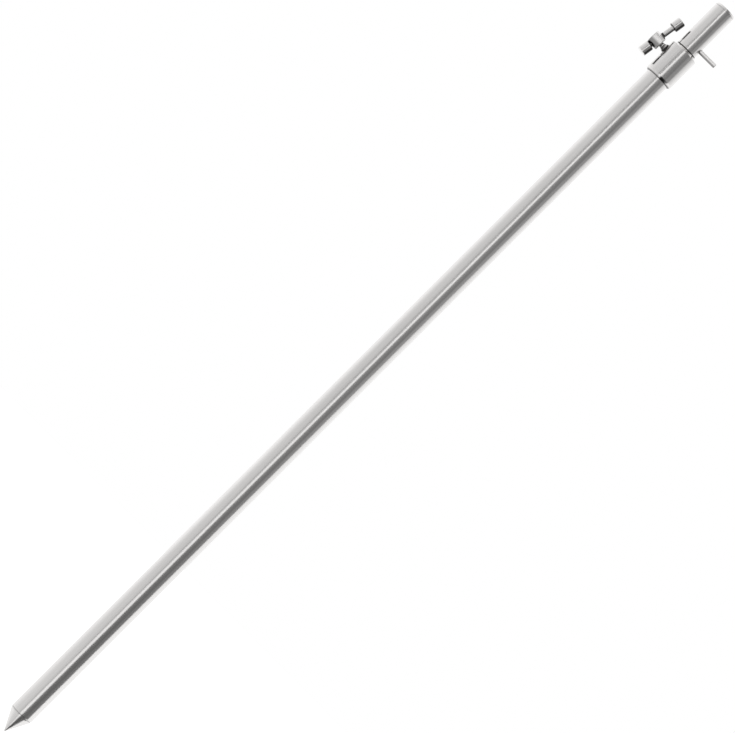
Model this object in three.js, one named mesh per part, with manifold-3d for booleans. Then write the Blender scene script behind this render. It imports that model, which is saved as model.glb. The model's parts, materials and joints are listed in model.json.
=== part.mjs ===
// A telescopic steel bank stick for resting fishing rods. A pointed outer tube goes into the ground, an
// inner tube slides up out of it, and a collar with a T-bar screw clamps the two. Lengths are in
// millimetres, angles in degrees. +Z runs up the stick from its tip, and the clamp screw points along -X.

import * as THREE from 'three';
import { mergeVertices, toCreasedNormals } from 'three/addons/utils/BufferGeometryUtils.js';
import Module from 'manifold-3d';

// Facets round a wide and a small turned surface, and along a rounded edge or tip
const wideFacets = 72;
const smallFacets = 48;
const roundingSteps = 5;

// Fits shared by all pieces
const fixedFit = 0.1; // gap where pieces are pressed, glued or screwed together
const runningFit = 0.1; // gap where one piece slides or turns in another
const cutOverrun = 1; // how far a cutter passes the surface that it cuts
const edgeBreak = 0.2; // small chamfer on turned and sawn edges
const drillPointShare = 0.6; // height of a drill's point, as a share of the drill's radius

// Inner tube
const innerDiameter = 14.3;
const innerWall = 1;
const closedFootGap = 26.7; // room over the spike for the foot of the inner stick when closed

// Outer tube, and the spike pressed in its foot
const tubeGap = 0.3; // round the inner tube, inside the outer tube
const outerWall = 0.5;
const outerLength = 560.8;
const outerFootChamferDepth = 0.3;
const outerFootChamferHeight = 0.6;
const spikeAngle = 55;
const spikeTipRadius = 0.5;
const spikeLand = 0.7; // parallel band between the cone and the tube
const spikeShankLength = 25;
const spikeShankChamfer = 1;

// Collar glued over the top of the outer tube
const collarWall = 1.65; // round the outer tube
const collarSocketDepth = 12; // how far the outer tube goes in
const collarFootRoundingDepth = 1.3;
const collarFootRoundingHeight = 2.4;
const collarHeadChamferDepth = 2.1;
const collarHeadChamferHeight = 1.45;
const collarMouthChamfer = 0.25;

// Plug that closes the head of the inner tube with a threaded socket
const flangeHeight = 1.6;
const headChamferDepth = 0.7;
const headChamferHeight = 1.1;
const headPlugBelowPin = 7.2;
const headPlugChamfer = 0.5;
const socketDiameter = 8.4; // tapping size of a 3/8 inch BSF thread
const socketDepth = 15;
const socketChamfer = 0.5;

// Stop pin that passes through a wider hole in the inner tube and is screwed into the head plug
const pinDiameter = 3;
const pinReach = 12.5; // how far it stands out of the tube
const pinBelowHead = 29.4;
const pinAboveCollar = 5.9; // from the collar to the pin's axis with the stick closed
const pinHoleDiameter = 3.9; // in the inner tube
const pinDepth = 4.5; // how far it goes into the plug
const pinEndChamfer = 0.35;

// Spool in the foot of the inner tube, and the split ring that guides it in the outer tube
const spoolShankLength = 12;
const spoolInset = 0.05; // how far the spool lies inside the inner tube's outline
const spoolFlangeHeight = 2;
const spoolGrooveDepth = 1.3;
const spoolGrooveHeight = 6;
const ringSplit = 1.2;

// Clamp screw with a drum head, and the pad that it presses on the inner tube
const screwAboveSocket = 4.6; // from the collar's inner shoulder to the screw's axis
const screwBelowCollarHead = 7.7;
const screwDiameter = 5.9;
const screwNeckDiameter = 3.8;
const screwShow = 0.5; // thread standing out of the collar when clamped
const screwTaperLength = 1.8;
const screwNeckLength = 1.3; // from the taper to the drum
const drumDiameter = 9.2;
const drumHeight = 7.4;
const drumChamfer = 0.4;
const padDiameter = 3.4;
const padLength = 1.3;
const padProud = 0.3; // how far the pad stands out of the screw's nose

// Sliding T-bar through the drum, with a cap on each end
const barTurn = 3; // turn of the bar round the screw from upright
const barDiameter = 3.4;
const barLength = 31; // over both caps
const barSlack = 0.75; // radial play in the drum's cross hole
const barRestGap = 0.06; // left at the rims of the hole where the slack bar leans on them
const capDiameter = 6.5;
const capLength = 6.6;
const capBoreDepth = 5;
const capChamfer = 0.35;
const capRestGap = 0.1; // left between a cap and the drum when the bar is slid home

// Radii
const innerRadius = innerDiameter / 2;
const innerBore = innerRadius - innerWall;
const outerBore = innerRadius + tubeGap;
const outerRadius = outerBore + outerWall;
const collarSocketRadius = outerRadius + fixedFit;
const collarRadius = collarSocketRadius + collarWall;
const collarBore = innerRadius + runningFit;
const spikeBaseRadius = outerRadius - outerFootChamferDepth;
const screwRadius = screwDiameter / 2;
const drumRadius = drumDiameter / 2;
const spoolRadius = innerRadius - spoolInset;
const grooveRadius = spoolRadius - spoolGrooveDepth;
const barRadius = barDiameter / 2;
const crossHoleRadius = barRadius + barSlack;
const capRadius = capDiameter / 2;

// Heights up the stick
const spikeHalfAngle = THREE.MathUtils.degToRad(spikeAngle / 2);
const spikeApex = spikeTipRadius - spikeTipRadius / Math.sin(spikeHalfAngle);
const coneTop = spikeApex + spikeBaseRadius / Math.tan(spikeHalfAngle);
const spikeShoulder = coneTop + spikeLand;
const outerFoot = spikeShoulder + fixedFit;
const spikeTop = spikeShoulder + spikeShankLength;
const outerTop = outerFoot + outerLength;
const collarShoulder = outerTop + fixedFit;
const collarFoot = collarShoulder - collarSocketDepth;
const screwHeight = collarShoulder + screwAboveSocket;
const collarHead = screwHeight + screwBelowCollarHead;
const pinHeight = collarHead + pinAboveCollar;
const head = pinHeight + pinBelowHead;
const flangeFoot = head - flangeHeight;
const spoolFoot = spikeTop + closedFootGap;
const grooveFoot = spoolFoot + spoolFlangeHeight;
const grooveTop = grooveFoot + spoolGrooveHeight;
const spoolTop = grooveTop + spoolFlangeHeight;
const innerFoot = spoolTop + fixedFit;
const innerTop = flangeFoot - fixedFit;

// Distances out along the clamp screw from the stick's axis
const padFace = innerRadius + fixedFit;
const padBack = padFace + padLength;
const screwNose = padFace + padProud;
const threadEnd = collarRadius + screwShow;
const neckStart = threadEnd + screwTaperLength;
const drumInner = neckStart + screwNeckLength;
const drumCentre = drumInner + drumHeight / 2;
const drumOuter = drumInner + drumHeight;

// The bar leans in its slack hole, and its lower cap rests beside the drum
const barLean = Math.atan((barSlack - barRestGap) / drumRadius);
const capStandoff = (drumRadius + capRestGap + capRadius * Math.sin(barLean)) / Math.cos(barLean);
const barFoot = -(capStandoff + capLength);
const barTop = barFoot + barLength;

const quarterTurn = Math.PI / 2;
const creaseAngle = Math.PI / 6;

const steel = { color: 0xc9c7c4, roughness: 0.28, metalness: 1 };
const darkSteel = { color: 0xb9b7b4, roughness: 0.35, metalness: 1 };
const brass = { color: 0xc8a050, roughness: 0.35, metalness: 1 };
const acetal = { color: 0xe9e7e0, roughness: 0.5, metalness: 0 };

const wasm = await Module();
wasm.setup();

// Turns a profile of [radius, height] points round +Z
function turned(profile, facets) {
  const points = profile.map(([radius, height]) => new THREE.Vector2(radius, height));
  return new THREE.LatheGeometry(points, facets).rotateX(quarterTurn);
}

// Turns a profile that closes on itself, for a piece with a hole right through
function turnedRing(profile, facets) {
  return turned([...profile, profile[0]], facets);
}

// A chamfered round bar along +Z
function roundBar(radius, foot, top, chamfer, facets) {
  return turned([
    [0, foot],
    [radius - chamfer, foot],
    [radius, foot + chamfer],
    [radius, top - chamfer],
    [radius - chamfer, top],
    [0, top],
  ], facets);
}

// A drill along +Z, from one height to another
function drill(radius, foot, top) {
  return new THREE.CylinderGeometry(radius, radius, top - foot, smallFacets)
    .rotateX(quarterTurn)
    .translate(0, 0, (foot + top) / 2);
}

function toSolid(geometry) {
  const bare = geometry.clone();
  bare.deleteAttribute('normal');
  bare.deleteAttribute('uv');
  const welded = mergeVertices(bare);
  const corners = welded.index.array;
  const triangles = [];
  for (let i = 0; i < corners.length; i += 3) {
    const [a, b, c] = corners.slice(i, i + 3);
    if (a !== b && b !== c && c !== a) triangles.push(a, b, c);
  }
  return new wasm.Manifold(new wasm.Mesh({
    numProp: 3,
    vertProperties: new Float32Array(welded.attributes.position.array),
    triVerts: new Uint32Array(triangles),
  }));
}

// Cuts tools out of a body and gives the result as geometry
function cut(body, ...tools) {
  const mesh = tools.reduce((solid, tool) => solid.subtract(toSolid(tool)), toSolid(body)).getMesh();
  const geometry = new THREE.BufferGeometry();
  geometry.setAttribute('position', new THREE.BufferAttribute(mesh.vertProperties, mesh.numProp));
  geometry.setIndex(new THREE.BufferAttribute(mesh.triVerts, 1));
  return geometry;
}

function addPiece(parent, name, geometry, finish) {
  const material = new THREE.MeshStandardMaterial(finish);
  const piece = new THREE.Mesh(toCreasedNormals(geometry, creaseAngle), material);
  piece.name = name;
  parent.add(piece);
  return piece;
}

function groundSpike() {
  const tip = [];
  for (let step = 0; step <= roundingSteps; step += 1) {
    const angle = (quarterTurn - spikeHalfAngle) * step / roundingSteps;
    tip.push([spikeTipRadius * Math.sin(angle), spikeTipRadius * (1 - Math.cos(angle))]);
  }
  const shankRadius = outerBore - fixedFit;
  return turned([
    ...tip,
    [spikeBaseRadius, coneTop],
    [spikeBaseRadius, spikeShoulder],
    [shankRadius, spikeShoulder],
    [shankRadius, spikeTop - spikeShankChamfer],
    [shankRadius - spikeShankChamfer, spikeTop],
    [0, spikeTop],
  ], wideFacets);
}

function outerTube() {
  return turnedRing([
    [outerBore, outerFoot],
    [spikeBaseRadius, outerFoot],
    [outerRadius, outerFoot + outerFootChamferHeight],
    [outerRadius, outerTop - edgeBreak],
    [outerRadius - edgeBreak, outerTop],
    [outerBore, outerTop],
  ], wideFacets);
}

// Quarter of an ellipse from the collar's foot face to its side
function collarFootRounding() {
  const points = [];
  for (let step = 0; step <= roundingSteps; step += 1) {
    const angle = quarterTurn * step / roundingSteps;
    const radius = collarRadius - collarFootRoundingDepth * (1 - Math.sin(angle));
    points.push([radius, collarFoot + collarFootRoundingHeight * (1 - Math.cos(angle))]);
  }
  return points;
}

function lockCollar() {
  const holeRadius = screwRadius + runningFit;
  const body = turnedRing([
    [collarSocketRadius, collarFoot],
    ...collarFootRounding(),
    [collarRadius, collarHead - collarHeadChamferHeight],
    [collarRadius - collarHeadChamferDepth, collarHead],
    [collarBore + collarMouthChamfer, collarHead],
    [collarBore, collarHead - collarMouthChamfer],
    [collarBore, collarShoulder],
    [collarSocketRadius, collarShoulder],
  ], wideFacets);
  const screwHole = drill(holeRadius, 0, collarRadius + cutOverrun)
    .rotateY(-quarterTurn)
    .translate(0, 0, screwHeight);
  const countersink = turned([
    [0, collarRadius - edgeBreak],
    [holeRadius, collarRadius - edgeBreak],
    [holeRadius + edgeBreak + cutOverrun, collarRadius + cutOverrun],
    [0, collarRadius + cutOverrun],
  ], smallFacets)
    .rotateY(-quarterTurn)
    .translate(0, 0, screwHeight);
  return cut(body, screwHole, countersink);
}

function innerTube() {
  const body = turnedRing([
    [innerBore, innerFoot],
    [innerRadius - edgeBreak, innerFoot],
    [innerRadius, innerFoot + edgeBreak],
    [innerRadius, innerTop],
    [innerBore, innerTop],
  ], wideFacets);
  const pinHole = drill(pinHoleDiameter / 2, 0, innerRadius + cutOverrun)
    .rotateY(quarterTurn)
    .translate(0, 0, pinHeight);
  return cut(body, pinHole);
}

// Flanged plug with a blind threaded socket for a rod rest, and a cross hole for the stop pin
function headPlug() {
  const plugRadius = innerBore - fixedFit;
  const plugFoot = pinHeight - headPlugBelowPin;
  const socketRadius = socketDiameter / 2;
  const socketFloor = head - socketDepth;
  const body = turned([
    [0, plugFoot],
    [plugRadius - headPlugChamfer, plugFoot],
    [plugRadius, plugFoot + headPlugChamfer],
    [plugRadius, flangeFoot],
    [innerRadius, flangeFoot],
    [innerRadius, head - headChamferHeight],
    [innerRadius - headChamferDepth, head],
    [socketRadius + socketChamfer, head],
    [socketRadius, head - socketChamfer],
    [socketRadius, socketFloor],
    [0, socketFloor - socketRadius * drillPointShare],
  ], wideFacets);
  const crossHole = drill(pinDiameter / 2 + fixedFit, plugRadius - pinDepth - fixedFit, innerRadius)
    .rotateY(quarterTurn)
    .translate(0, 0, pinHeight);
  return cut(body, crossHole);
}

// Plain pin with a threaded root, along +Z from the stick's axis
function headPin() {
  const rootEnd = innerBore - fixedFit - pinDepth;
  const outerEnd = innerRadius + pinReach;
  return roundBar(pinDiameter / 2, rootEnd, outerEnd, pinEndChamfer, smallFacets);
}

function slideSpool() {
  const shankRadius = innerBore - fixedFit;
  const shankTop = innerFoot + spoolShankLength;
  return turned([
    [0, spoolFoot],
    [spoolRadius - edgeBreak, spoolFoot],
    [spoolRadius, spoolFoot + edgeBreak],
    [spoolRadius, grooveFoot],
    [grooveRadius, grooveFoot],
    [grooveRadius, grooveTop],
    [spoolRadius, grooveTop],
    [spoolRadius, spoolTop],
    [shankRadius, spoolTop],
    [shankRadius, shankTop - headPlugChamfer],
    [shankRadius - headPlugChamfer, shankTop],
    [0, shankTop],
  ], wideFacets);
}

// Ring split at one side so that it springs over the spool
function guideRing() {
  const ringBore = grooveRadius + runningFit;
  const ringRadius = outerBore - runningFit;
  const halfSplit = ringSplit / (ringBore + ringRadius);
  const outline = new THREE.Shape();
  outline.absarc(0, 0, ringRadius, halfSplit, 2 * Math.PI - halfSplit, false);
  outline.absarc(0, 0, ringBore, 2 * Math.PI - halfSplit, halfSplit, true);
  outline.closePath();
  return new THREE.ExtrudeGeometry(outline, {
    depth: spoolGrooveHeight - 2 * runningFit,
    curveSegments: wideFacets,
    bevelEnabled: false,
  }).translate(0, 0, grooveFoot + runningFit);
}

// Turned along +Z from the stick's axis: nose with a recess for the pad, thread, taper, thin neck, drum head
function lockScrew() {
  const neckRadius = screwNeckDiameter / 2;
  const recessRadius = padDiameter / 2 + runningFit;
  const recessFloor = padBack + runningFit;
  const body = turned([
    [0, recessFloor],
    [recessRadius, recessFloor],
    [recessRadius, screwNose],
    [screwRadius - edgeBreak, screwNose],
    [screwRadius, screwNose + edgeBreak],
    [screwRadius, threadEnd],
    [neckRadius, neckStart],
    [neckRadius, drumInner],
    [drumRadius - drumChamfer, drumInner],
    [drumRadius, drumInner + drumChamfer],
    [drumRadius, drumOuter - drumChamfer],
    [drumRadius - drumChamfer, drumOuter],
    [0, drumOuter],
  ], smallFacets);
  const crossHole = drill(crossHoleRadius, -drumRadius - cutOverrun, drumRadius + cutOverrun)
    .rotateY(quarterTurn)
    .rotateZ(THREE.MathUtils.degToRad(barTurn))
    .translate(0, 0, drumCentre);
  return cut(body, crossHole);
}

function lockPad() {
  return roundBar(padDiameter / 2, padFace, padBack, edgeBreak, smallFacets);
}

function tommyBar() {
  const capWall = capLength - capBoreDepth + fixedFit;
  return roundBar(barRadius, barFoot + capWall, barTop - capWall, edgeBreak, smallFacets);
}

// Cap bored from the end that faces the drum, with its mouth at zero and its closed end up +Z
function barCap() {
  const boreRadius = barRadius + fixedFit;
  return turned([
    [0, capBoreDepth],
    [boreRadius, capBoreDepth],
    [boreRadius, 0],
    [capRadius - capChamfer, 0],
    [capRadius, capChamfer],
    [capRadius, capLength - capChamfer],
    [capRadius - capChamfer, capLength],
    [0, capLength],
  ], smallFacets);
}

// The outer stick stands in the ground and carries the clamp
function outerStick() {
  const group = new THREE.Group();
  addPiece(group, 'ground_spike', groundSpike(), darkSteel);
  addPiece(group, 'outer_tube', outerTube(), steel);
  addPiece(group, 'lock_collar', lockCollar(), steel);
  return group;
}

// The inner stick slides and turns in the outer one
function innerStick() {
  const group = new THREE.Group();
  addPiece(group, 'inner_tube', innerTube(), steel);
  addPiece(group, 'head_plug', headPlug(), steel);
  addPiece(group, 'slide_spool', slideSpool(), darkSteel);
  addPiece(group, 'guide_ring', guideRing(), acetal);
  const pin = addPiece(group, 'head_pin', headPin(), steel);
  pin.position.z = pinHeight;
  pin.rotation.y = quarterTurn;
  return group;
}

// The T-bar's own +Z runs up the bar from the drum's middle
function tBar() {
  const group = new THREE.Group();
  addPiece(group, 'tommy_bar', tommyBar(), steel);
  const lowerCap = addPiece(group, 'bar_cap_lower', barCap(), steel);
  lowerCap.position.z = -capStandoff;
  lowerCap.rotation.y = Math.PI;
  const upperCap = addPiece(group, 'bar_cap_upper', barCap(), steel);
  upperCap.position.z = barTop - capLength;
  group.rotation.y = quarterTurn + barLean;
  return group;
}

// The clamp's own +Z runs out along the screw, and its +X up the stick
function clamp() {
  const group = new THREE.Group();
  addPiece(group, 'lock_screw', lockScrew(), steel);
  addPiece(group, 'lock_pad', lockPad(), brass);
  const crosswise = new THREE.Group();
  crosswise.position.z = drumCentre;
  crosswise.rotation.z = THREE.MathUtils.degToRad(barTurn);
  crosswise.add(tBar());
  group.add(crosswise);
  group.position.z = screwHeight;
  group.rotation.y = -quarterTurn;
  return group;
}

const bankStick = new THREE.Group();
bankStick.add(outerStick(), innerStick(), clamp());

export default bankStick;
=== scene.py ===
import json
import math

import bmesh
import bpy
from mathutils import Matrix, Vector


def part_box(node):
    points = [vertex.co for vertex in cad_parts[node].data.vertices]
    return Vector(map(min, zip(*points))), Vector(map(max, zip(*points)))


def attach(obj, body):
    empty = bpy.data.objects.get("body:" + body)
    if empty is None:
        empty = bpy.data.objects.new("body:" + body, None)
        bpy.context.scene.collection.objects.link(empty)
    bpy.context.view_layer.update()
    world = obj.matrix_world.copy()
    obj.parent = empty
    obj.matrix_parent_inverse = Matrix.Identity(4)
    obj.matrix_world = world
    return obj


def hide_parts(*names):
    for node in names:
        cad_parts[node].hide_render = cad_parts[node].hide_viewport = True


# Looks of a steel bank stick: smooth turned pieces, cut threads, satin steel and a white studio.
# Lengths are in metres. +Z runs up the stick, and the clamp screw points along -X.

MM = 0.001

# Facets round the tubes and the collar, the head plug, the small pieces, the holes and the floor
TUBE_FACETS = 160
PLUG_FACETS = 96
SMALL_FACETS = 72
HOLE_FACETS = 48
FLOOR_FACETS = 96

# Fits and edges that the pieces share, with the most of a straight part that one eased corner takes
FIT = 0.1 * MM
EASE = 0.12 * MM
EASE_SHARE = 0.4
EASE_STEPS = 3
ROUNDING_STEPS = 10

# Holes: how far a drill runs out past the surface, and its point's depth as a share of its radius
DRILL_OVERRUN = 1.0 * MM
DRILL_POINT = 0.6

# Threads: steps in each turn, how steep the flanks are, how wide the crest is, and the turns that they take
# to run out
THREAD_STEPS = 10
THREAD_FLANK = 1.35
THREAD_CREST = 0.2
THREAD_RUNOUT = 0.6

# How near a point lies to count as on the axis, on a wall or on the profile
ON_AXIS = FIT / 100
ON_WALL = FIT / 10
ON_PROFILE = 0.03 * MM

# A face takes its profile's exact normals where its cosines with the two of a leg add up to this or more.
# Elsewhere the edges above this angle stay sharp
SAME_FACING = 1.9
SHARP_ANGLE = math.radians(32)

# Each turned piece has its own material first, and then near-black steel for painted shade
PAINTED_SHADE_SLOT = 1

# Walls and chamfers, as (depth, height) where a chamfer has two sizes
OUTER_WALL = 0.5 * MM
INNER_WALL = 1.0 * MM
OUTER_FOOT_CHAMFER = (0.3 * MM, 0.6 * MM)
SPIKE_TIP_RADIUS = 0.5 * MM
SPIKE_HALF_ANGLE = math.radians(27.5)
SPIKE_LAND = 0.7 * MM
SPIKE_SHANK_CHAMFER = 1.0 * MM
COLLAR_FOOT_ROUNDING = (1.3 * MM, 2.4 * MM)
COLLAR_HEAD_CHAMFER = (2.1 * MM, 1.45 * MM)
COLLAR_MOUTH_CHAMFER = 0.25 * MM
HEAD_CHAMFER = (0.7 * MM, 1.1 * MM)
HEAD_PLUG_CHAMFER = 0.5 * MM

# Threaded head socket, 3/8 inch BSF
SOCKET_RADIUS = 4.2 * MM
SOCKET_DEPTH = 15.0 * MM
SOCKET_PITCH = 1.27 * MM
SOCKET_THREAD_DEPTH = 0.5 * MM
SOCKET_MOUTH = 0.5 * MM

# Painted shadow line round the inner tube at the collar's mouth, as heights above the collar of the closed
# stick
MOUTH_SHADOW_LINE = (0, 0.85 * MM)

# Stop pin
PIN_HOLE_RADIUS = 1.95 * MM
PIN_END_CHAMFER = 0.35 * MM
PIN_DEPTH = 4.5 * MM

# Clamp screw, M6
SCREW_RADIUS = 2.95 * MM
SCREW_HOLE_FLARE = 0.2 * MM
SCREW_PITCH = 1.0 * MM
SCREW_THREAD_DEPTH = 0.55 * MM
SCREW_SHOW = 0.5 * MM
SCREW_TAPER = 1.8 * MM
SCREW_NECK_RADIUS = 1.9 * MM
SCREW_UNDERCUT = 0.8 * MM
DRUM_HEIGHT = 7.4 * MM
DRUM_CHAMFER = 0.4 * MM
PAD_RADIUS = 1.7 * MM
PAD_DEPTH = 1.1 * MM

# Sliding T-bar, with its slack in the drum and how far its painted shadows reach to each side of the drum's
# wall
BAR_SLACK = 0.75 * MM
BAR_SHADOW_REACH = 0.9 * MM
CAP_BORE_DEPTH = 5.0 * MM
CAP_CHAMFER = 0.35 * MM
CAP_MOUTH_CHAMFER = 0.2 * MM

# The photograph's view: turned from the front, level with the middle of the stick, rolled half a right angle
PHOTO_WIDTH_PX = 735
MM_PER_PX = 0.611 * MM
CAMERA_TURN = math.radians(2)
CAMERA_DISTANCE = 2.5
CAMERA_ROLL = math.radians(45.04)
MIDDLE_OFF_CENTRE_PX = (-2.2, -3.9)
SENSOR_WIDTH_MM = 36.0
CAMERA_CLIP = (0.05, 50)

# Floor, which the camera sees lifted to white
WHITE = (1, 1, 1, 1)
FLOOR_RADIUS = 2.2
FLOOR_DROP = 0.4 * MM
FLOOR_GREY = (0.86, 0.86, 0.86, 1)
FLOOR_ROUGHNESS = 0.9
FLOOR_SHINE = 0.1
FLOOR_LIFT = 0.35

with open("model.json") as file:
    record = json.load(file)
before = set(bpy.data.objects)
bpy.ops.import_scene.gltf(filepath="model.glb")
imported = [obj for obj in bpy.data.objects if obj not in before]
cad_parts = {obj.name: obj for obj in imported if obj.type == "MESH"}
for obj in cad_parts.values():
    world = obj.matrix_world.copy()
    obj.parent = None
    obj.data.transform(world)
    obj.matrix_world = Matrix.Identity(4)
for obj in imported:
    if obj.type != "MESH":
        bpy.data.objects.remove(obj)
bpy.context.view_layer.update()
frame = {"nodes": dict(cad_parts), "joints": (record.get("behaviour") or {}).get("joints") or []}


# Nodes and materials

def new_material(name):
    """A bare node material with its Principled shader."""
    material = bpy.data.materials.new(name)
    material.use_nodes = True
    tree = material.node_tree
    return material, tree, tree.nodes["Principled BSDF"]


def add(tree, kind, **settings):
    """A new node with its settings."""
    node = tree.nodes.new(kind)
    for key, value in settings.items():
        setattr(node, key, value)
    return node


def ramp(tree, source, stops):
    """A colour ramp of grey or coloured stops over a 0 to 1 source."""
    node = add(tree, "ShaderNodeValToRGB")
    elements = node.color_ramp.elements
    while len(elements) < len(stops):
        elements.new(0.5)
    for element, (place, colour) in zip(elements, stops):
        element.position = place
        element.color = (*colour, 1) if isinstance(colour, tuple) else (colour, colour, colour, 1)
    tree.links.new(source, node.inputs["Fac"])
    return node.outputs["Color"]


def two_tones(tree, source, dull, pale):
    """A colour that follows a noise from dull to pale."""
    return ramp(tree, source, [(TONE_STOPS[0], dull), (TONE_STOPS[1], pale)])


def noise(tree, stretch, scale, detail=3.0, roughness=0.5):
    """Noise in the piece's own coordinates, stretched along its axes."""
    coordinates = add(tree, "ShaderNodeTexCoord")
    mapping = add(tree, "ShaderNodeMapping")
    mapping.inputs["Scale"].default_value = stretch
    texture = add(tree, "ShaderNodeTexNoise")
    texture.inputs["Scale"].default_value = scale
    texture.inputs["Detail"].default_value = detail
    texture.inputs["Roughness"].default_value = roughness
    tree.links.new(coordinates.outputs["Object"], mapping.inputs["Vector"])
    tree.links.new(mapping.outputs["Vector"], texture.inputs["Vector"])
    return texture.outputs["Fac"]


def spread(tree, source, low, high):
    """A 0 to 1 source spread over another range."""
    node = add(tree, "ShaderNodeMapRange")
    node.inputs["To Min"].default_value = low
    node.inputs["To Max"].default_value = high
    tree.links.new(source, node.inputs["Value"])
    return node.outputs["Result"]


def bump(tree, height, distance, strength=1.0, under=None):
    """A surface raised by a height, over another bump if there is one."""
    node = add(tree, "ShaderNodeBump")
    node.inputs["Strength"].default_value = strength
    node.inputs["Distance"].default_value = distance
    tree.links.new(height, node.inputs["Height"])
    if under is not None:
        tree.links.new(under, node.inputs["Normal"])
    return node.outputs["Normal"]


def component(tree, direction, axis):
    """The part of a direction that lies along an axis."""
    node = add(tree, "ShaderNodeVectorMath", operation="DOT_PRODUCT")
    node.inputs[1].default_value = axis
    tree.links.new(direction, node.inputs[0])
    return node.outputs["Value"]


def math_node(tree, operation, first, second):
    """Joins two values by one operation."""
    node = add(tree, "ShaderNodeMath", operation=operation)
    tree.links.new(first, node.inputs[0])
    tree.links.new(second, node.inputs[1])
    return node.outputs["Value"]


def between(tree, source, low, high):
    """Rises smoothly from 0 at one value of the source to 1 at another."""
    node = add(tree, "ShaderNodeMapRange", interpolation_type="SMOOTHSTEP")
    node.inputs["From Min"].default_value = low
    node.inputs["From Max"].default_value = high
    tree.links.new(source, node.inputs["Value"])
    return node.outputs["Result"]


def blend(tree, share, first, second, kind="MIX"):
    """Mixes two colours, each from a node or plain."""
    node = add(tree, "ShaderNodeMix", data_type="RGBA", blend_type=kind)
    tree.links.new(share, node.inputs["Factor"])
    for colour, name in ((first, "A"), (second, "B")):
        socket = next(socket for socket in node.inputs if socket.name == name and socket.type == "RGBA")
        if isinstance(colour, tuple):
            socket.default_value = colour
        else:
            tree.links.new(colour, socket)
    return next(socket for socket in node.outputs if socket.type == "RGBA")


# Colours, each a pale and a dull tone, with the places in the noise where they start
TONE_STOPS = (0.3, 0.7)
PALE_STEEL = (0.88, 0.866, 0.858)
DULL_STEEL = (0.83, 0.816, 0.808)
# Near-black tones that paint shade into holes, recesses and shadow lines
PALE_PAINTED_SHADE = (0.12, 0.118, 0.115)
DULL_PAINTED_SHADE = (0.07, 0.069, 0.067)
PALE_BRASS = (0.76, 0.58, 0.3)
DULL_BRASS = (0.66, 0.48, 0.22)
PALE_ACETAL = (0.87, 0.86, 0.82)
DULL_ACETAL = (0.8, 0.79, 0.75)

# Steel's noises, stretched along its own X, Y and Z: fine lines round it, smears along it and a slow sway
LINES_STRETCH = (4, 4, 160)
LINES_DETAIL = 2.0
LINES_DEPTH = 0.004 * MM
LINES_STRENGTH = 0.6
SMEARS_STRETCH = (90, 90, 9)
SMEARS_DETAIL = 4.0
SMEARS_ROUGHNESS = 0.6
SWAY_STRETCH = (1, 1, 1)
SWAY_DETAIL = 1.0

# Finishes, each with its range of roughness, the scales of its lines and smears, and its sway's scale and
# depth
DRAWN = dict(
    pale=PALE_STEEL, dull=DULL_STEEL, rough=(0.16, 0.24), lines=20.0, smear=1.0, sway=(14.0, 0.05 * MM),
)
TURNED = dict(
    pale=PALE_STEEL, dull=DULL_STEEL, rough=(0.15, 0.24), lines=28.0, smear=1.6, sway=(40.0, 0.02 * MM),
)
# Near-black steel that paints shade into holes, recesses and shadow lines
PAINTED_SHADE_FINISH = dict(
    pale=PALE_PAINTED_SHADE, dull=DULL_PAINTED_SHADE, rough=(0.34, 0.46), lines=36.0, smear=1.6, sway=(60.0, 0.02 * MM),
)

FOOTWARDS = Vector((0, 0, -1))
STICKWARDS = Vector((1, 0, 0))

# Sides with painted shade and dark reflections, each as the directions that it faces, with the cosines at
# which that starts and is full, and the share of the steel's colour that is left
TUBE_PAINTED_SHADE = ((((FOOTWARDS, 0.25, 0.8),), 0.5),)
COLLAR_PAINTED_SHADE = (
    (((FOOTWARDS, 0.25, 0.8),), 0.12),
    (((FOOTWARDS, 0.06, 0.25), (STICKWARDS, 0.0, 0.12), (STICKWARDS, 0.55, 0.35)), 0.12),
)
SCREW_PAINTED_SHADE = ((((FOOTWARDS, -0.1, 0.4),), 0.33), (((STICKWARDS, 0.6, 0.9),), 0.5))
PIN_PAINTED_SHADE = ((((FOOTWARDS, -0.1, 0.5),), 0.4),)
BAR_PAINTED_SHADE = ((((STICKWARDS, 0.4, 0.65),), 0.06),)


def painted_side_shade(tree, colour, facings, left):
    """Paints shade on the side that faces the given ways, down to a share of its colour."""
    normal = add(tree, "ShaderNodeNewGeometry").outputs["Normal"]
    share = None
    for facing, low, high in facings:
        rise = between(tree, component(tree, normal, facing), low, high)
        share = rise if share is None else math_node(tree, "MULTIPLY", share, rise)
    return blend(tree, share, colour, (left, left, left, 1), "MULTIPLY")


def steel(name, pale, dull, rough, lines, smear, sway, shaded_sides=()):
    """Steel with fine lines round the piece's own Z axis, smears along it and a slow sway in its surface."""
    material, tree, shader = new_material(name)
    shader.inputs["Metallic"].default_value = 1.0
    fine = noise(tree, LINES_STRETCH, lines, LINES_DETAIL)
    smears = noise(tree, SMEARS_STRETCH, smear, SMEARS_DETAIL, SMEARS_ROUGHNESS)
    waves = noise(tree, SWAY_STRETCH, sway[0], SWAY_DETAIL)
    colour = two_tones(tree, smears, dull, pale)
    # Shade and dark reflections painted onto the sides given
    for side in shaded_sides:
        colour = painted_side_shade(tree, colour, *side)
    tree.links.new(colour, shader.inputs["Base Color"])
    tree.links.new(spread(tree, smears, *rough), shader.inputs["Roughness"])
    swaying = bump(tree, waves, sway[1])
    tree.links.new(bump(tree, fine, LINES_DEPTH, LINES_STRENGTH, swaying), shader.inputs["Normal"])
    return material


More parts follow.
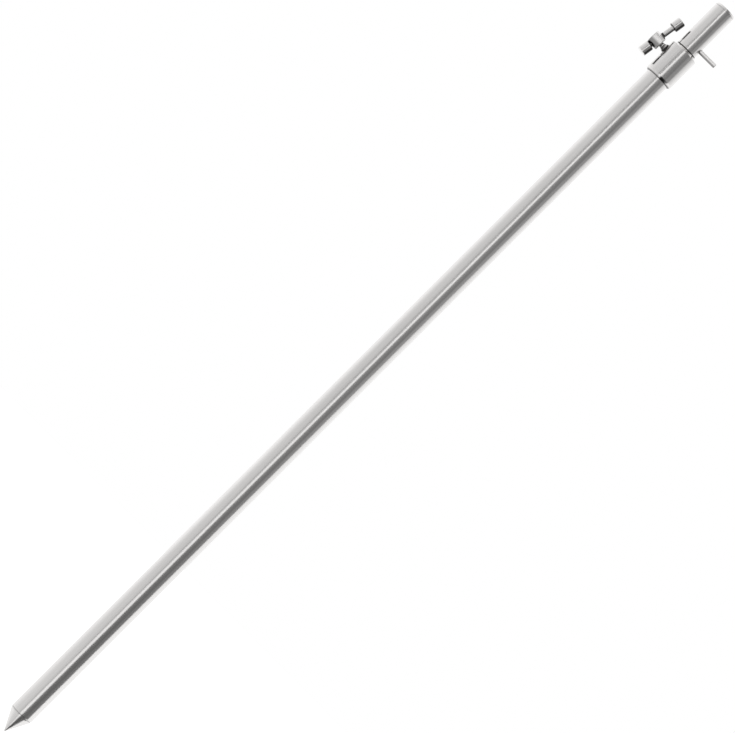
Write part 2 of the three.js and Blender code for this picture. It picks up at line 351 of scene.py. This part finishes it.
def grained(name, pale, dull, rough, stretch, scale, depth, metallic):
    """A material with one grain in its colour, its roughness and its surface."""
    material, tree, shader = new_material(name)
    shader.inputs["Metallic"].default_value = metallic
    grain = noise(tree, stretch, scale)
    tree.links.new(two_tones(tree, grain, dull, pale), shader.inputs["Base Color"])
    tree.links.new(spread(tree, grain, *rough), shader.inputs["Roughness"])
    tree.links.new(bump(tree, grain, depth), shader.inputs["Normal"])
    return material


# Steels with shaded sides have shade and dark reflections painted where they face the foot or the stick
TUBE_STEEL = steel("tube_steel", **DRAWN, shaded_sides=TUBE_PAINTED_SHADE)
TURNED_STEEL = steel("turned_steel", **TURNED)
COLLAR_STEEL = steel("collar_steel", **TURNED, shaded_sides=COLLAR_PAINTED_SHADE)
SCREW_STEEL = steel("screw_steel", **TURNED, shaded_sides=SCREW_PAINTED_SHADE)
PIN_STEEL = steel("pin_steel", **TURNED, shaded_sides=PIN_PAINTED_SHADE)
BAR_STEEL = steel("bar_steel", **TURNED, shaded_sides=BAR_PAINTED_SHADE)
# Painted shade for holes, recesses and shadow lines
PAINTED_SHADE_STEEL = steel("painted_shade_steel", **PAINTED_SHADE_FINISH)
BRASS = grained("brass", PALE_BRASS, DULL_BRASS, rough=(0.28, 0.4), stretch=(40, 40, 400), scale=14.0,
                depth=0.01 * MM, metallic=1.0)
ACETAL = grained("acetal", PALE_ACETAL, DULL_ACETAL, rough=(0.42, 0.52), stretch=(60, 60, 60), scale=10.0,
                 depth=0.02 * MM, metallic=0.0)


# Turned shapes

def reach(node, origin, direction):
    """How far a node's vertices lie along a line, and the farthest that one lies from it."""
    offsets = [vertex.co - origin for vertex in frame["nodes"][node].data.vertices]
    heights = [offset.dot(direction) for offset in offsets]
    away = [(offset - direction * height).length for offset, height in zip(offsets, heights)]
    return min(heights), max(heights), max(away)


def eased(corners, closed=False):
    """Rounds a profile's corners, with the solid on its left, into (radius, height, normal) points."""
    points = [Vector(corner) for corner in corners]
    count = len(points)
    legs = range(count if closed else count - 1)
    tangents = [(points[(i + 1) % count] - points[i]).normalized() for i in legs]
    lengths = [(points[(i + 1) % count] - points[i]).length for i in legs]
    made = []
    for i in range(count):
        if not closed and i in (0, count - 1):
            tangent = tangents[0] if i == 0 else tangents[-1]
            made.append((points[i], tangent))
            continue
        before, after = tangents[i - 1], tangents[i]
        trim = min(EASE, lengths[i - 1] * EASE_SHARE, lengths[i] * EASE_SHARE)
        for step in range(EASE_STEPS + 1):
            share = step / EASE_STEPS
            start, end = points[i] - before * trim, points[i] + after * trim
            low, high = start.lerp(points[i], share), points[i].lerp(end, share)
            tangent = before if share == 0 else after if share == 1 else (high - low).normalized()
            made.append((low.lerp(high, share), tangent))
    return [(point.x, point.y, Vector((tangent.y, -tangent.x))) for point, tangent in made]


def spin(name, profile, facets, closed):
    """Turns a profile round local +Z into a closed mesh."""
    shape = bmesh.new()
    rings = []
    for radius, height, _ in profile:
        if radius < ON_AXIS:
            rings.append([shape.verts.new((0, 0, height))])
            continue
        turns = [2 * math.pi * step / facets for step in range(facets)]
        rings.append([shape.verts.new((radius * math.cos(a), radius * math.sin(a), height)) for a in turns])
    pairs = list(zip(rings, rings[1:] + rings[:1] if closed else rings[1:]))
    for low, high in pairs:
        for step in range(facets):
            after = (step + 1) % facets
            corners = [low[step % len(low)], low[after % len(low)]]
            corners += [high[after % len(high)], high[step % len(high)]]
            corners = list(dict.fromkeys(corners))
            if len(corners) > 2:
                shape.faces.new(corners)
    mesh = bpy.data.meshes.new(name)
    shape.to_mesh(mesh)
    shape.free()
    return mesh


def along(origin, direction):
    """The place whose local +Z runs from an origin along a direction."""
    return Matrix.Translation(origin) @ direction.to_track_quat("Z", "Y").to_matrix().to_4x4()


def drill(place, radius, low, high, flare=0.0):
    """A cutter along a place's +Z, with an optional flare that starts where the hole meets the surface."""
    profile = [(0, low), (radius, low), (radius, high)]
    if flare:
        profile.append((radius + flare + DRILL_OVERRUN, high + DRILL_OVERRUN))
    profile.append((0, profile[-1][1]))
    mesh = spin("drill", [(r, z, None) for r, z in profile], HOLE_FACETS, False)
    mesh.materials.append(TURNED_STEEL)
    mesh.materials.append(PAINTED_SHADE_STEEL)
    # The hole's walls take the near-black steel, which paints shade into the hole
    for face in mesh.polygons:
        face.material_index = PAINTED_SHADE_SLOT
    cutter = bpy.data.objects.new("drill", mesh)
    bpy.context.scene.collection.objects.link(cutter)
    cutter.matrix_world = place
    return cutter


def cut(piece, cutter):
    """Cuts a hole in a piece and removes the cutter."""
    modifier = piece.modifiers.new("hole", "BOOLEAN")
    modifier.operation = "DIFFERENCE"
    modifier.solver = "EXACT"
    modifier.object = cutter
    bpy.context.view_layer.update()
    result = bpy.data.meshes.new_from_object(piece.evaluated_get(bpy.context.evaluated_depsgraph_get()))
    piece.modifiers.clear()
    piece.data = result
    bpy.data.objects.remove(cutter)


def stepped(profile, radius, low, high, pitch):
    """Splits a straight wall of a profile into the small steps that its thread needs."""
    made = []
    count = len(profile)
    for i, (r, z, normal) in enumerate(profile):
        made.append((r, z, normal))
        after = profile[(i + 1) % count]
        on_wall = abs(r - radius) <= ON_WALL and abs(after[0] - radius) <= ON_WALL
        if not on_wall or abs(after[1] - z) < pitch:
            continue
        steps = int(abs(after[1] - z) / pitch * THREAD_STEPS)
        made += [(r, z + (after[1] - z) * step / steps, normal) for step in range(1, steps)]
    return made


def thread(mesh, radius, low, high, pitch, depth):
    """Cuts a right-handed V thread into a turned wall, outwards where its depth is negative."""
    runout = pitch * THREAD_RUNOUT
    for vertex in mesh.vertices:
        x, y, z = vertex.co
        distance = math.hypot(x, y)
        if abs(distance - radius) > ON_WALL or not low < z < high:
            continue
        phase = (z / pitch - math.atan2(y, x) / (2 * math.pi)) % 1
        groove = min(max(abs(2 * phase - 1) * THREAD_FLANK - THREAD_CREST, 0), 1)
        fade = min((z - low) / runout, (high - z) / runout, 1)
        share = (distance - depth * groove * fade) / distance
        vertex.co = (x * share, y * share, z)


def profile_legs(profile, closed):
    """The straight legs of a profile, each as its two ends and the normals there."""
    pairs = zip(profile, profile[1:] + profile[:1] if closed else profile[1:])
    legs = [(Vector(start[:2]), Vector(end[:2]), start[2], end[2]) for start, end in pairs]
    return [leg for leg in legs if (leg[1] - leg[0]).length > ON_AXIS]


def leg_normal(spot, facing, legs):
    """The normal of the nearest leg to a (radius, height) spot that faces the same way, if any."""
    best, found = ON_PROFILE, None
    for start, end, first, last in legs:
        if facing.dot(first + last) < SAME_FACING:
            continue
        leg = end - start
        share = min(max((spot - start).dot(leg) / leg.length_squared, 0), 1)
        miss = (start + leg * share - spot).length
        if miss < best:
            best, found = miss, first.lerp(last, share)
    return found


def shade(mesh, profile, closed):
    """Gives turned faces their exact normals, and leaves holes and threads to the angle between faces."""
    mesh.polygons.foreach_set("use_smooth", [True] * len(mesh.polygons))
    mesh.set_sharp_from_angle(angle=SHARP_ANGLE)
    legs = profile_legs(profile, closed)
    normals = [Vector((0, 0, 0))] * len(mesh.loops)
    for face in mesh.polygons:
        outwards = Vector((face.center.x, face.center.y))
        radial = Vector((face.normal.x, face.normal.y)).dot(outwards.normalized()) if outwards.length else 0
        facing = Vector((radial, face.normal.z))
        for corner in face.loop_indices:
            place = mesh.vertices[mesh.loops[corner].vertex_index].co
            spot = Vector((math.hypot(place.x, place.y), place.z))
            found = leg_normal(spot, facing, legs)
            if found is not None:
                across = Vector((place.x, place.y)) if spot.x > ON_AXIS else outwards
                around = across.normalized()
                normals[corner] = Vector((around.x * found.x, around.y * found.x, found.y)).normalized()
    mesh.normals_split_custom_set(normals)


def turned(name, node, body, corners, place=Matrix(), closed=False, facets=TUBE_FACETS,
           material=TURNED_STEEL, holes=(), threads=(), dark=()):
    """A turned piece in place of a CAD node, riding on its body, with painted shade between dark heights."""
    profile = eased(corners, closed)
    for wall_radius, low, high, pitch, _ in threads:
        profile = stepped(profile, wall_radius, low, high, pitch)
    mesh = spin(name, profile, facets, closed)
    for wall in threads:
        thread(mesh, *wall)
    mesh.materials.append(material)
    mesh.materials.append(PAINTED_SHADE_STEEL)
    # Faces between the dark heights take the near-black steel: painted shade
    for face in mesh.polygons:
        if any(low < face.center.z < high for low, high in dark):
            face.material_index = PAINTED_SHADE_SLOT
    piece = bpy.data.objects.new(name, mesh)
    bpy.context.scene.collection.objects.link(piece)
    piece.matrix_world = place
    for cutter in holes:
        cut(piece, cutter)
    shade(piece.data, profile, closed)
    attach(piece, body)
    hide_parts(node)


# Places in the frame

TIP = Vector((0, 0, 0))
UP = Vector((0, 0, 1))
joints = {joint["name"]: joint for joint in frame["joints"]}

outer_foot, outer_top, outer_radius = reach("outer_tube", TIP, UP)
inner_foot, inner_top, inner_radius = reach("inner_tube", TIP, UP)
collar_foot, collar_head, collar_radius = reach("lock_collar", TIP, UP)
plug_foot, head, _ = reach("head_plug", TIP, UP)
_, spike_top, spike_radius = reach("ground_spike", TIP, UP)

screw_axis = Vector(joints["lock_turn"]["axis"]).normalized()
screw_origin = Vector((0, 0, joints["lock_turn"]["pos_m"][2]))
screw_place = along(screw_origin, screw_axis)
screw_nose, drum_outer, drum_radius = reach("lock_screw", screw_origin, screw_axis)
drum_inner = drum_outer - DRUM_HEIGHT

bar_axis = -Vector(joints["bar_slide"]["axis"]).normalized()
bar_origin = screw_origin + screw_axis * (drum_inner + DRUM_HEIGHT / 2)
bar_place = along(bar_origin, bar_axis)
bar_foot, bar_top, bar_radius = reach("tommy_bar", bar_origin, bar_axis)

pin_low, pin_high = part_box("head_pin")
pin_origin = Vector((0, 0, (pin_low.z + pin_high.z) / 2))
pin_axis = Vector((1, 0, 0))
pin_place = along(pin_origin, pin_axis)
pin_foot, pin_end, pin_radius = reach("head_pin", pin_origin, pin_axis)

outer_bore = outer_radius - OUTER_WALL
inner_bore = inner_radius - INNER_WALL


# Pieces

def rounding(radius, height, wide, high, turn=math.pi / 2):
    """Points round an ellipse that starts flat at a radius and a height and turns upwards."""
    turns = [turn * step / ROUNDING_STEPS for step in range(ROUNDING_STEPS + 1)]
    return [(radius + wide * math.sin(a), height + high * (1 - math.cos(a))) for a in turns]


def ground_spike():
    """The point with its land, its shoulder and the shank that is pressed into the outer tube."""
    shoulder = outer_foot - FIT
    land = shoulder - SPIKE_LAND
    shank = outer_bore - FIT
    tip_turn = math.pi / 2 - SPIKE_HALF_ANGLE
    tip = rounding(0, 0, SPIKE_TIP_RADIUS, SPIKE_TIP_RADIUS, tip_turn)
    turned("spike_turned", "ground_spike", "outer_stick", [
        *tip,
        (spike_radius, land),
        (spike_radius, shoulder),
        (shank, shoulder),
        (shank, spike_top - SPIKE_SHANK_CHAMFER),
        (shank - SPIKE_SHANK_CHAMFER, spike_top),
        (0, spike_top),
    ])


def outer_tube():
    """The wide tube, chamfered at its foot."""
    depth, height = OUTER_FOOT_CHAMFER
    turned("outer_tube_drawn", "outer_tube", "outer_stick", [
        (outer_bore, outer_foot),
        (outer_radius - depth, outer_foot),
        (outer_radius, outer_foot + height),
        (outer_radius, outer_top),
        (outer_bore, outer_top),
    ], closed=True, material=TUBE_STEEL)


def lock_collar():
    """The collar with its stepped bore, its rounded foot, its chamfered head and the screw's hole."""
    foot_depth, foot_height = COLLAR_FOOT_ROUNDING
    head_depth, head_height = COLLAR_HEAD_CHAMFER
    socket = outer_radius + FIT
    bore = inner_radius + FIT
    shoulder = outer_top + FIT
    hole = drill(screw_place, SCREW_RADIUS + FIT, 0, collar_radius - 2 * FIT, SCREW_HOLE_FLARE)
    turned("collar_turned", "lock_collar", "outer_stick", [
        (socket, collar_foot),
        *rounding(collar_radius - foot_depth, collar_foot, foot_depth, foot_height),
        (collar_radius, collar_head - head_height),
        (collar_radius - head_depth, collar_head),
        (bore + COLLAR_MOUTH_CHAMFER, collar_head),
        (bore, collar_head - COLLAR_MOUTH_CHAMFER),
        (bore, shoulder),
        (socket, shoulder),
    ], closed=True, material=COLLAR_STEEL, holes=[hole])


def inner_tube():
    """The thin tube with the pin's hole and a painted shadow line at the collar's mouth."""
    hole = drill(pin_place, PIN_HOLE_RADIUS, 0, inner_radius + DRILL_OVERRUN)
    # Painted shadow line where the inner tube leaves the collar's mouth
    line = tuple(collar_head + height for height in MOUTH_SHADOW_LINE)
    turned("inner_tube_drawn", "inner_tube", "inner_stick", [
        (inner_bore, inner_foot),
        (inner_radius, inner_foot),
        (inner_radius, line[0]),
        (inner_radius, line[1]),
        (inner_radius, inner_top),
        (inner_bore, inner_top),
    ], closed=True, material=TUBE_STEEL, holes=[hole], dark=(line,))


def head_plug():
    """The plug that closes the inner tube, with its threaded socket and the pin's hole."""
    depth, height = HEAD_CHAMFER
    plug = inner_bore - FIT
    flange = inner_top + FIT
    bottom = head - SOCKET_DEPTH
    hole = drill(pin_place, pin_radius + FIT, plug - PIN_DEPTH - FIT, inner_radius)
    wall = (SOCKET_RADIUS, bottom + SOCKET_MOUTH, head - SOCKET_MOUTH, SOCKET_PITCH, -SOCKET_THREAD_DEPTH)
    turned("head_plug_turned", "head_plug", "inner_stick", [
        (0, plug_foot),
        (plug - HEAD_PLUG_CHAMFER, plug_foot),
        (plug, plug_foot + HEAD_PLUG_CHAMFER),
        (plug, flange),
        (inner_radius, flange),
        (inner_radius, head - height),
        (inner_radius - depth, head),
        (SOCKET_RADIUS + SOCKET_MOUTH, head),
        (SOCKET_RADIUS, head - SOCKET_MOUTH),
        (SOCKET_RADIUS, bottom),
        (0, bottom - SOCKET_RADIUS * DRILL_POINT),
    ], facets=PLUG_FACETS, holes=[hole], threads=[wall])


def head_pin():
    """The plain pin above the collar."""
    turned("stop_pin", "head_pin", "inner_stick", [
        (0, pin_foot),
        (pin_radius, pin_foot),
        (pin_radius, pin_end - PIN_END_CHAMFER),
        (pin_radius - PIN_END_CHAMFER, pin_end),
        (0, pin_end),
    ], pin_place, facets=SMALL_FACETS, material=PIN_STEEL)


def lock_screw():
    """The screw with its pad's recess, its thread, taper, neck and undercut, and its drum's cross hole."""
    thread_end = collar_radius + SCREW_SHOW
    recess = PAD_RADIUS + FIT
    bottom = screw_nose + PAD_DEPTH
    hole = drill(bar_place, bar_radius + BAR_SLACK, -2 * drum_radius, 2 * drum_radius)
    wall = (SCREW_RADIUS, screw_nose, thread_end, SCREW_PITCH, SCREW_THREAD_DEPTH)
    # Shade painted onto the showing thread and into the undercut under the drum
    dark = ((screw_nose, thread_end), (drum_inner - SCREW_UNDERCUT, drum_inner - FIT))
    turned("clamp_screw", "lock_screw", "clamp_screw", [
        (0, bottom),
        (recess, bottom),
        (recess, screw_nose),
        (SCREW_RADIUS, screw_nose),
        (SCREW_RADIUS, thread_end),
        (SCREW_NECK_RADIUS, thread_end + SCREW_TAPER),
        (SCREW_NECK_RADIUS, drum_inner - SCREW_UNDERCUT),
        (SCREW_NECK_RADIUS - 2 * FIT, drum_inner - SCREW_UNDERCUT),
        (SCREW_NECK_RADIUS - 2 * FIT, drum_inner),
        (drum_radius - DRUM_CHAMFER, drum_inner),
        (drum_radius, drum_inner + DRUM_CHAMFER),
        (drum_radius, drum_outer - DRUM_CHAMFER),
        (drum_radius - DRUM_CHAMFER, drum_outer),
        (0, drum_outer),
    ], screw_place, facets=SMALL_FACETS, material=SCREW_STEEL, holes=[hole], threads=[wall], dark=dark)


def tommy_bar():
    """The bar, with shadows painted where it enters the drum's wall at either end of its slide."""
    near, far = drum_radius - BAR_SHADOW_REACH, drum_radius + BAR_SHADOW_REACH
    # Shadows painted where the bar enters the drum's wall
    dark = ((-far, -near), (near, far))
    turned("sliding_bar", "tommy_bar", "t_bar", [
        (0, bar_foot),
        (bar_radius, bar_foot),
        (bar_radius, -far),
        (bar_radius, -near),
        (bar_radius, near),
        (bar_radius, far),
        (bar_radius, bar_top),
        (0, bar_top),
    ], bar_place, facets=SMALL_FACETS, material=BAR_STEEL, dark=dark)


def bar_cap(name, node, towards):
    """A cap bored from its inner end, along the bar's axis towards its own end."""
    axis = bar_axis * towards
    mouth, end, radius = reach(node, bar_origin, axis)
    bore = bar_radius + FIT
    # Shade painted onto the chamfer at the cap's mouth
    dark = ((mouth - FIT, mouth + CAP_CHAMFER),)
    turned(name, node, "t_bar", [
        (0, mouth + CAP_BORE_DEPTH),
        (bore, mouth + CAP_BORE_DEPTH),
        (bore, mouth + CAP_MOUTH_CHAMFER),
        (bore + CAP_MOUTH_CHAMFER, mouth),
        (radius - CAP_CHAMFER, mouth),
        (radius, mouth + CAP_CHAMFER),
        (radius, end - CAP_CHAMFER),
        (radius - CAP_CHAMFER, end),
        (0, end),
    ], along(bar_origin, axis), facets=SMALL_FACETS, material=BAR_STEEL, dark=dark)


def hidden_nodes():
    """The CAD nodes that stay as they are, inside the stick."""
    for node, material in (("lock_pad", BRASS), ("guide_ring", ACETAL), ("slide_spool", TURNED_STEEL)):
        mesh = frame["nodes"][node].data
        mesh.materials.clear()
        mesh.materials.append(material)


# Stage

def floor():
    """A pale round floor that the camera sees as white where no shadow falls."""
    mesh = spin("floor", [(0, -FLOOR_DROP, None), (FLOOR_RADIUS, -FLOOR_DROP, None)], FLOOR_FACETS, False)
    mesh.flip_normals()
    material, tree, shader = new_material("floor_white")
    shader.inputs["Base Color"].default_value = FLOOR_GREY
    shader.inputs["Roughness"].default_value = FLOOR_ROUGHNESS
    shader.inputs["Specular IOR Level"].default_value = FLOOR_SHINE
    light_path = add(tree, "ShaderNodeLightPath")
    lift = add(tree, "ShaderNodeMath", operation="MULTIPLY")
    lift.inputs[1].default_value = FLOOR_LIFT
    tree.links.new(light_path.outputs["Is Camera Ray"], lift.inputs[0])
    shader.inputs["Emission Color"].default_value = WHITE
    tree.links.new(lift.outputs[0], shader.inputs["Emission Strength"])
    mesh.materials.append(material)
    piece = bpy.data.objects.new("floor", mesh)
    bpy.context.scene.collection.objects.link(piece)
    piece.visible_glossy = False


def camera():
    """The photograph's camera. Gives the level directions towards it and to its right."""
    towards = Vector((math.sin(CAMERA_TURN), -math.cos(CAMERA_TURN), 0))
    rightwards = Vector((math.cos(CAMERA_TURN), math.sin(CAMERA_TURN), 0))
    right = UP * math.sin(CAMERA_ROLL) + rightwards * math.cos(CAMERA_ROLL)
    upright = UP * math.cos(CAMERA_ROLL) - rightwards * math.sin(CAMERA_ROLL)
    off_x, off_y = (pixels * MM_PER_PX for pixels in MIDDLE_OFF_CENTRE_PX)
    data = bpy.data.cameras.new("photo_camera")
    data.sensor_fit = "HORIZONTAL"
    data.sensor_width = SENSOR_WIDTH_MM
    data.lens = SENSOR_WIDTH_MM * CAMERA_DISTANCE / (PHOTO_WIDTH_PX * MM_PER_PX)
    data.clip_start, data.clip_end = CAMERA_CLIP
    piece = bpy.data.objects.new("photo_camera", data)
    bpy.context.scene.collection.objects.link(piece)
    place = Matrix((right, upright, towards)).transposed().to_4x4()
    place.translation = UP * head / 2 - right * off_x - upright * off_y + towards * CAMERA_DISTANCE
    piece.matrix_world = place
    bpy.context.scene.camera = piece
    return towards, rightwards


# Panels that the steel shows, each over the ones before it: the angles of its two sides in degrees, round
# the stick from the camera towards the right, the softness of each side, and its greys at three lifts
PANELS = {
    "grey_wall_left": ((-99, -33), (41, 1), (0.73, 0.62, 0.67)),
    "grey_edge_of_wall": ((-27, -16), (19, 1), (0.27, 0.03, 0.18)),
    "strip_lamp_front": ((-14, -8), (1, 1), (1.0, 0.44, 0.03)),
    "pale_wall_right": ((38, 88), (22, 61), (1.0, 0.7, 0.2)),
    "dark_card_right": ((8, 82), (2, 1), (0.12, 0.36, 0.26)),
    "dark_card_heart": ((25, 51), (25, 2), (0.1, 0.21, 0.17)),
}

# The lifts of those greys, as the upward part of a direction: below the camera, level with it and above it
PANEL_LIFTS = (-0.1, 0.0, 0.1)


def lifted_grey(tree, lift, greys):
    """A grey that changes with the height it is seen at."""
    low, high = PANEL_LIFTS[0], PANEL_LIFTS[-1]
    share = add(tree, "ShaderNodeMapRange")
    share.inputs["From Min"].default_value = low
    share.inputs["From Max"].default_value = high
    tree.links.new(lift, share.inputs["Value"])
    stops = [((place - low) / (high - low), grey) for place, grey in zip(PANEL_LIFTS, greys)]
    return ramp(tree, share.outputs["Result"], stops)


def panel_side(tree, turn, angle, softness):
    """Rises from 0 to 1 across one side of a panel, or falls where the softness is negative."""
    return between(tree, turn, math.radians(angle - softness), math.radians(angle + softness))


def studio(towards, rightwards):
    """A white world, with panels round the stick that its steel shows."""
    world = bpy.data.worlds.new("studio")
    world.use_nodes = True
    bpy.context.scene.world = world
    tree = world.node_tree
    tree.nodes.clear()
    direction = add(tree, "ShaderNodeTexCoord").outputs["Generated"]
    lift = component(tree, direction, UP)
    to_right, to_camera = component(tree, direction, rightwards), component(tree, direction, towards)
    turn = math_node(tree, "ARCTAN2", to_right, to_camera)
    shown = WHITE
    for (left, right), (left_soft, right_soft), greys in PANELS.values():
        left_side = panel_side(tree, turn, left, left_soft)
        right_side = panel_side(tree, turn, right, -right_soft)
        share = math_node(tree, "MULTIPLY", left_side, right_side)
        shown = blend(tree, share, shown, lifted_grey(tree, lift, greys))
    steel_sees = add(tree, "ShaderNodeBackground")
    tree.links.new(shown, steel_sees.inputs["Color"])
    white = add(tree, "ShaderNodeBackground")
    white.inputs["Color"].default_value = WHITE
    mix = add(tree, "ShaderNodeMixShader")
    tree.links.new(add(tree, "ShaderNodeLightPath").outputs["Is Glossy Ray"], mix.inputs["Fac"])
    tree.links.new(white.outputs[0], mix.inputs[1])
    tree.links.new(steel_sees.outputs[0], mix.inputs[2])
    tree.links.new(mix.outputs[0], add(tree, "ShaderNodeOutputWorld").inputs["Surface"])


ground_spike()
outer_tube()
lock_collar()
inner_tube()
head_plug()
head_pin()
lock_screw()
tommy_bar()
bar_cap("lower_cap", "bar_cap_lower", -1)
bar_cap("upper_cap", "bar_cap_upper", 1)
hidden_nodes()

floor()
studio(*camera())
bpy.context.scene.view_settings.view_transform = "Standard"
